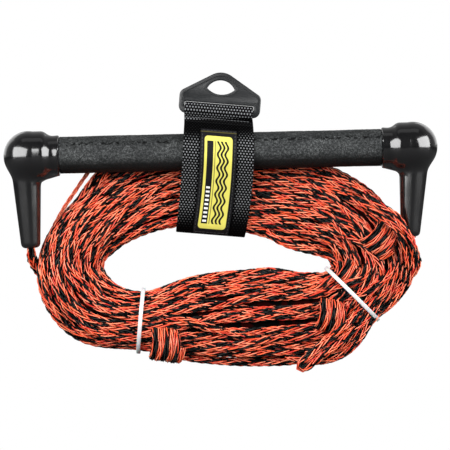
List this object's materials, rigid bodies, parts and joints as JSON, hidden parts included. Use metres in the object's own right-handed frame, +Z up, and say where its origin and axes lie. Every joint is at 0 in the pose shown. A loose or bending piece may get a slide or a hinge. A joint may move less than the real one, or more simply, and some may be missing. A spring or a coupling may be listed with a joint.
{
  "type": "tow rope handle",
  "caption": "Straight tow handle with elbow end caps, its braided rope coiled into an oval bundle and held by a webbing keeper strap under a moulded hanger.",
  "frame": {"origin": "bottom centre of the whole object's box, hanging upright as in use on a peg", "axes": "+X along the handle, +Z up towards the hanger, -Y the front with the label"},
  "size_m": [0.3218, 0.0608, 0.2223],
  "materials": {
    "rope": "red and black braided polypropylene",
    "tie": "natural white nylon",
    "webbing": "black woven nylon",
    "closure": "black hook and loop",
    "thread": "dark grey thread",
    "label": "woven yellow and black patch",
    "tube": "drawn tube",
    "grip": "finely grained, satin",
    "cap": "moulded, glossy",
    "hanger": "moulded, satin"
  },
  "bodies": {
    "coil": {"rope_coil": "rope", "boat_loop": "rope", "tie_left": "tie", "tie_right": "tie", "keeper_webbing": "webbing", "loop_tape": "closure", "loop_tape_stitch": "thread", "label_patch": "label", "label_stitch": "thread", "fold_stitch_upper": "thread", "fold_stitch_lower": "thread"},
    "handle": {"core_tube": "tube", "grip_sleeve": "grip", "end_cap_left": "cap", "end_cap_right": "cap", "bridle_rope": "rope", "bridle_tail_left": "rope", "bridle_tail_right": "rope"},
    "hanger": {"hanger": "hanger"},
    "strap_tail": {"keeper_tail": "webbing", "hook_tape": "closure", "hook_tape_stitch": "thread"}
  },
  "joints": [
    {"name": "handle_swing", "type": "hinge", "parent": "coil", "child": "handle", "pos_m": [0, -0.01216, 0.16386], "axis": [1, 0, 0], "range_deg": [0, 25]},
    {"name": "hanger_tilt", "type": "hinge", "parent": "coil", "child": "hanger", "pos_m": [-0.00072, -0.01216, 0.1932], "axis": [0.9945, 0, -0.1045], "range_deg": [-75, 75]},
    {"name": "tail_peel", "type": "hinge", "parent": "coil", "child": "strap_tail", "pos_m": [-0.00735, 0.02665, 0.13005], "axis": [-0.9945, 0, 0.1045], "range_deg": [0, 100]}
  ]
}
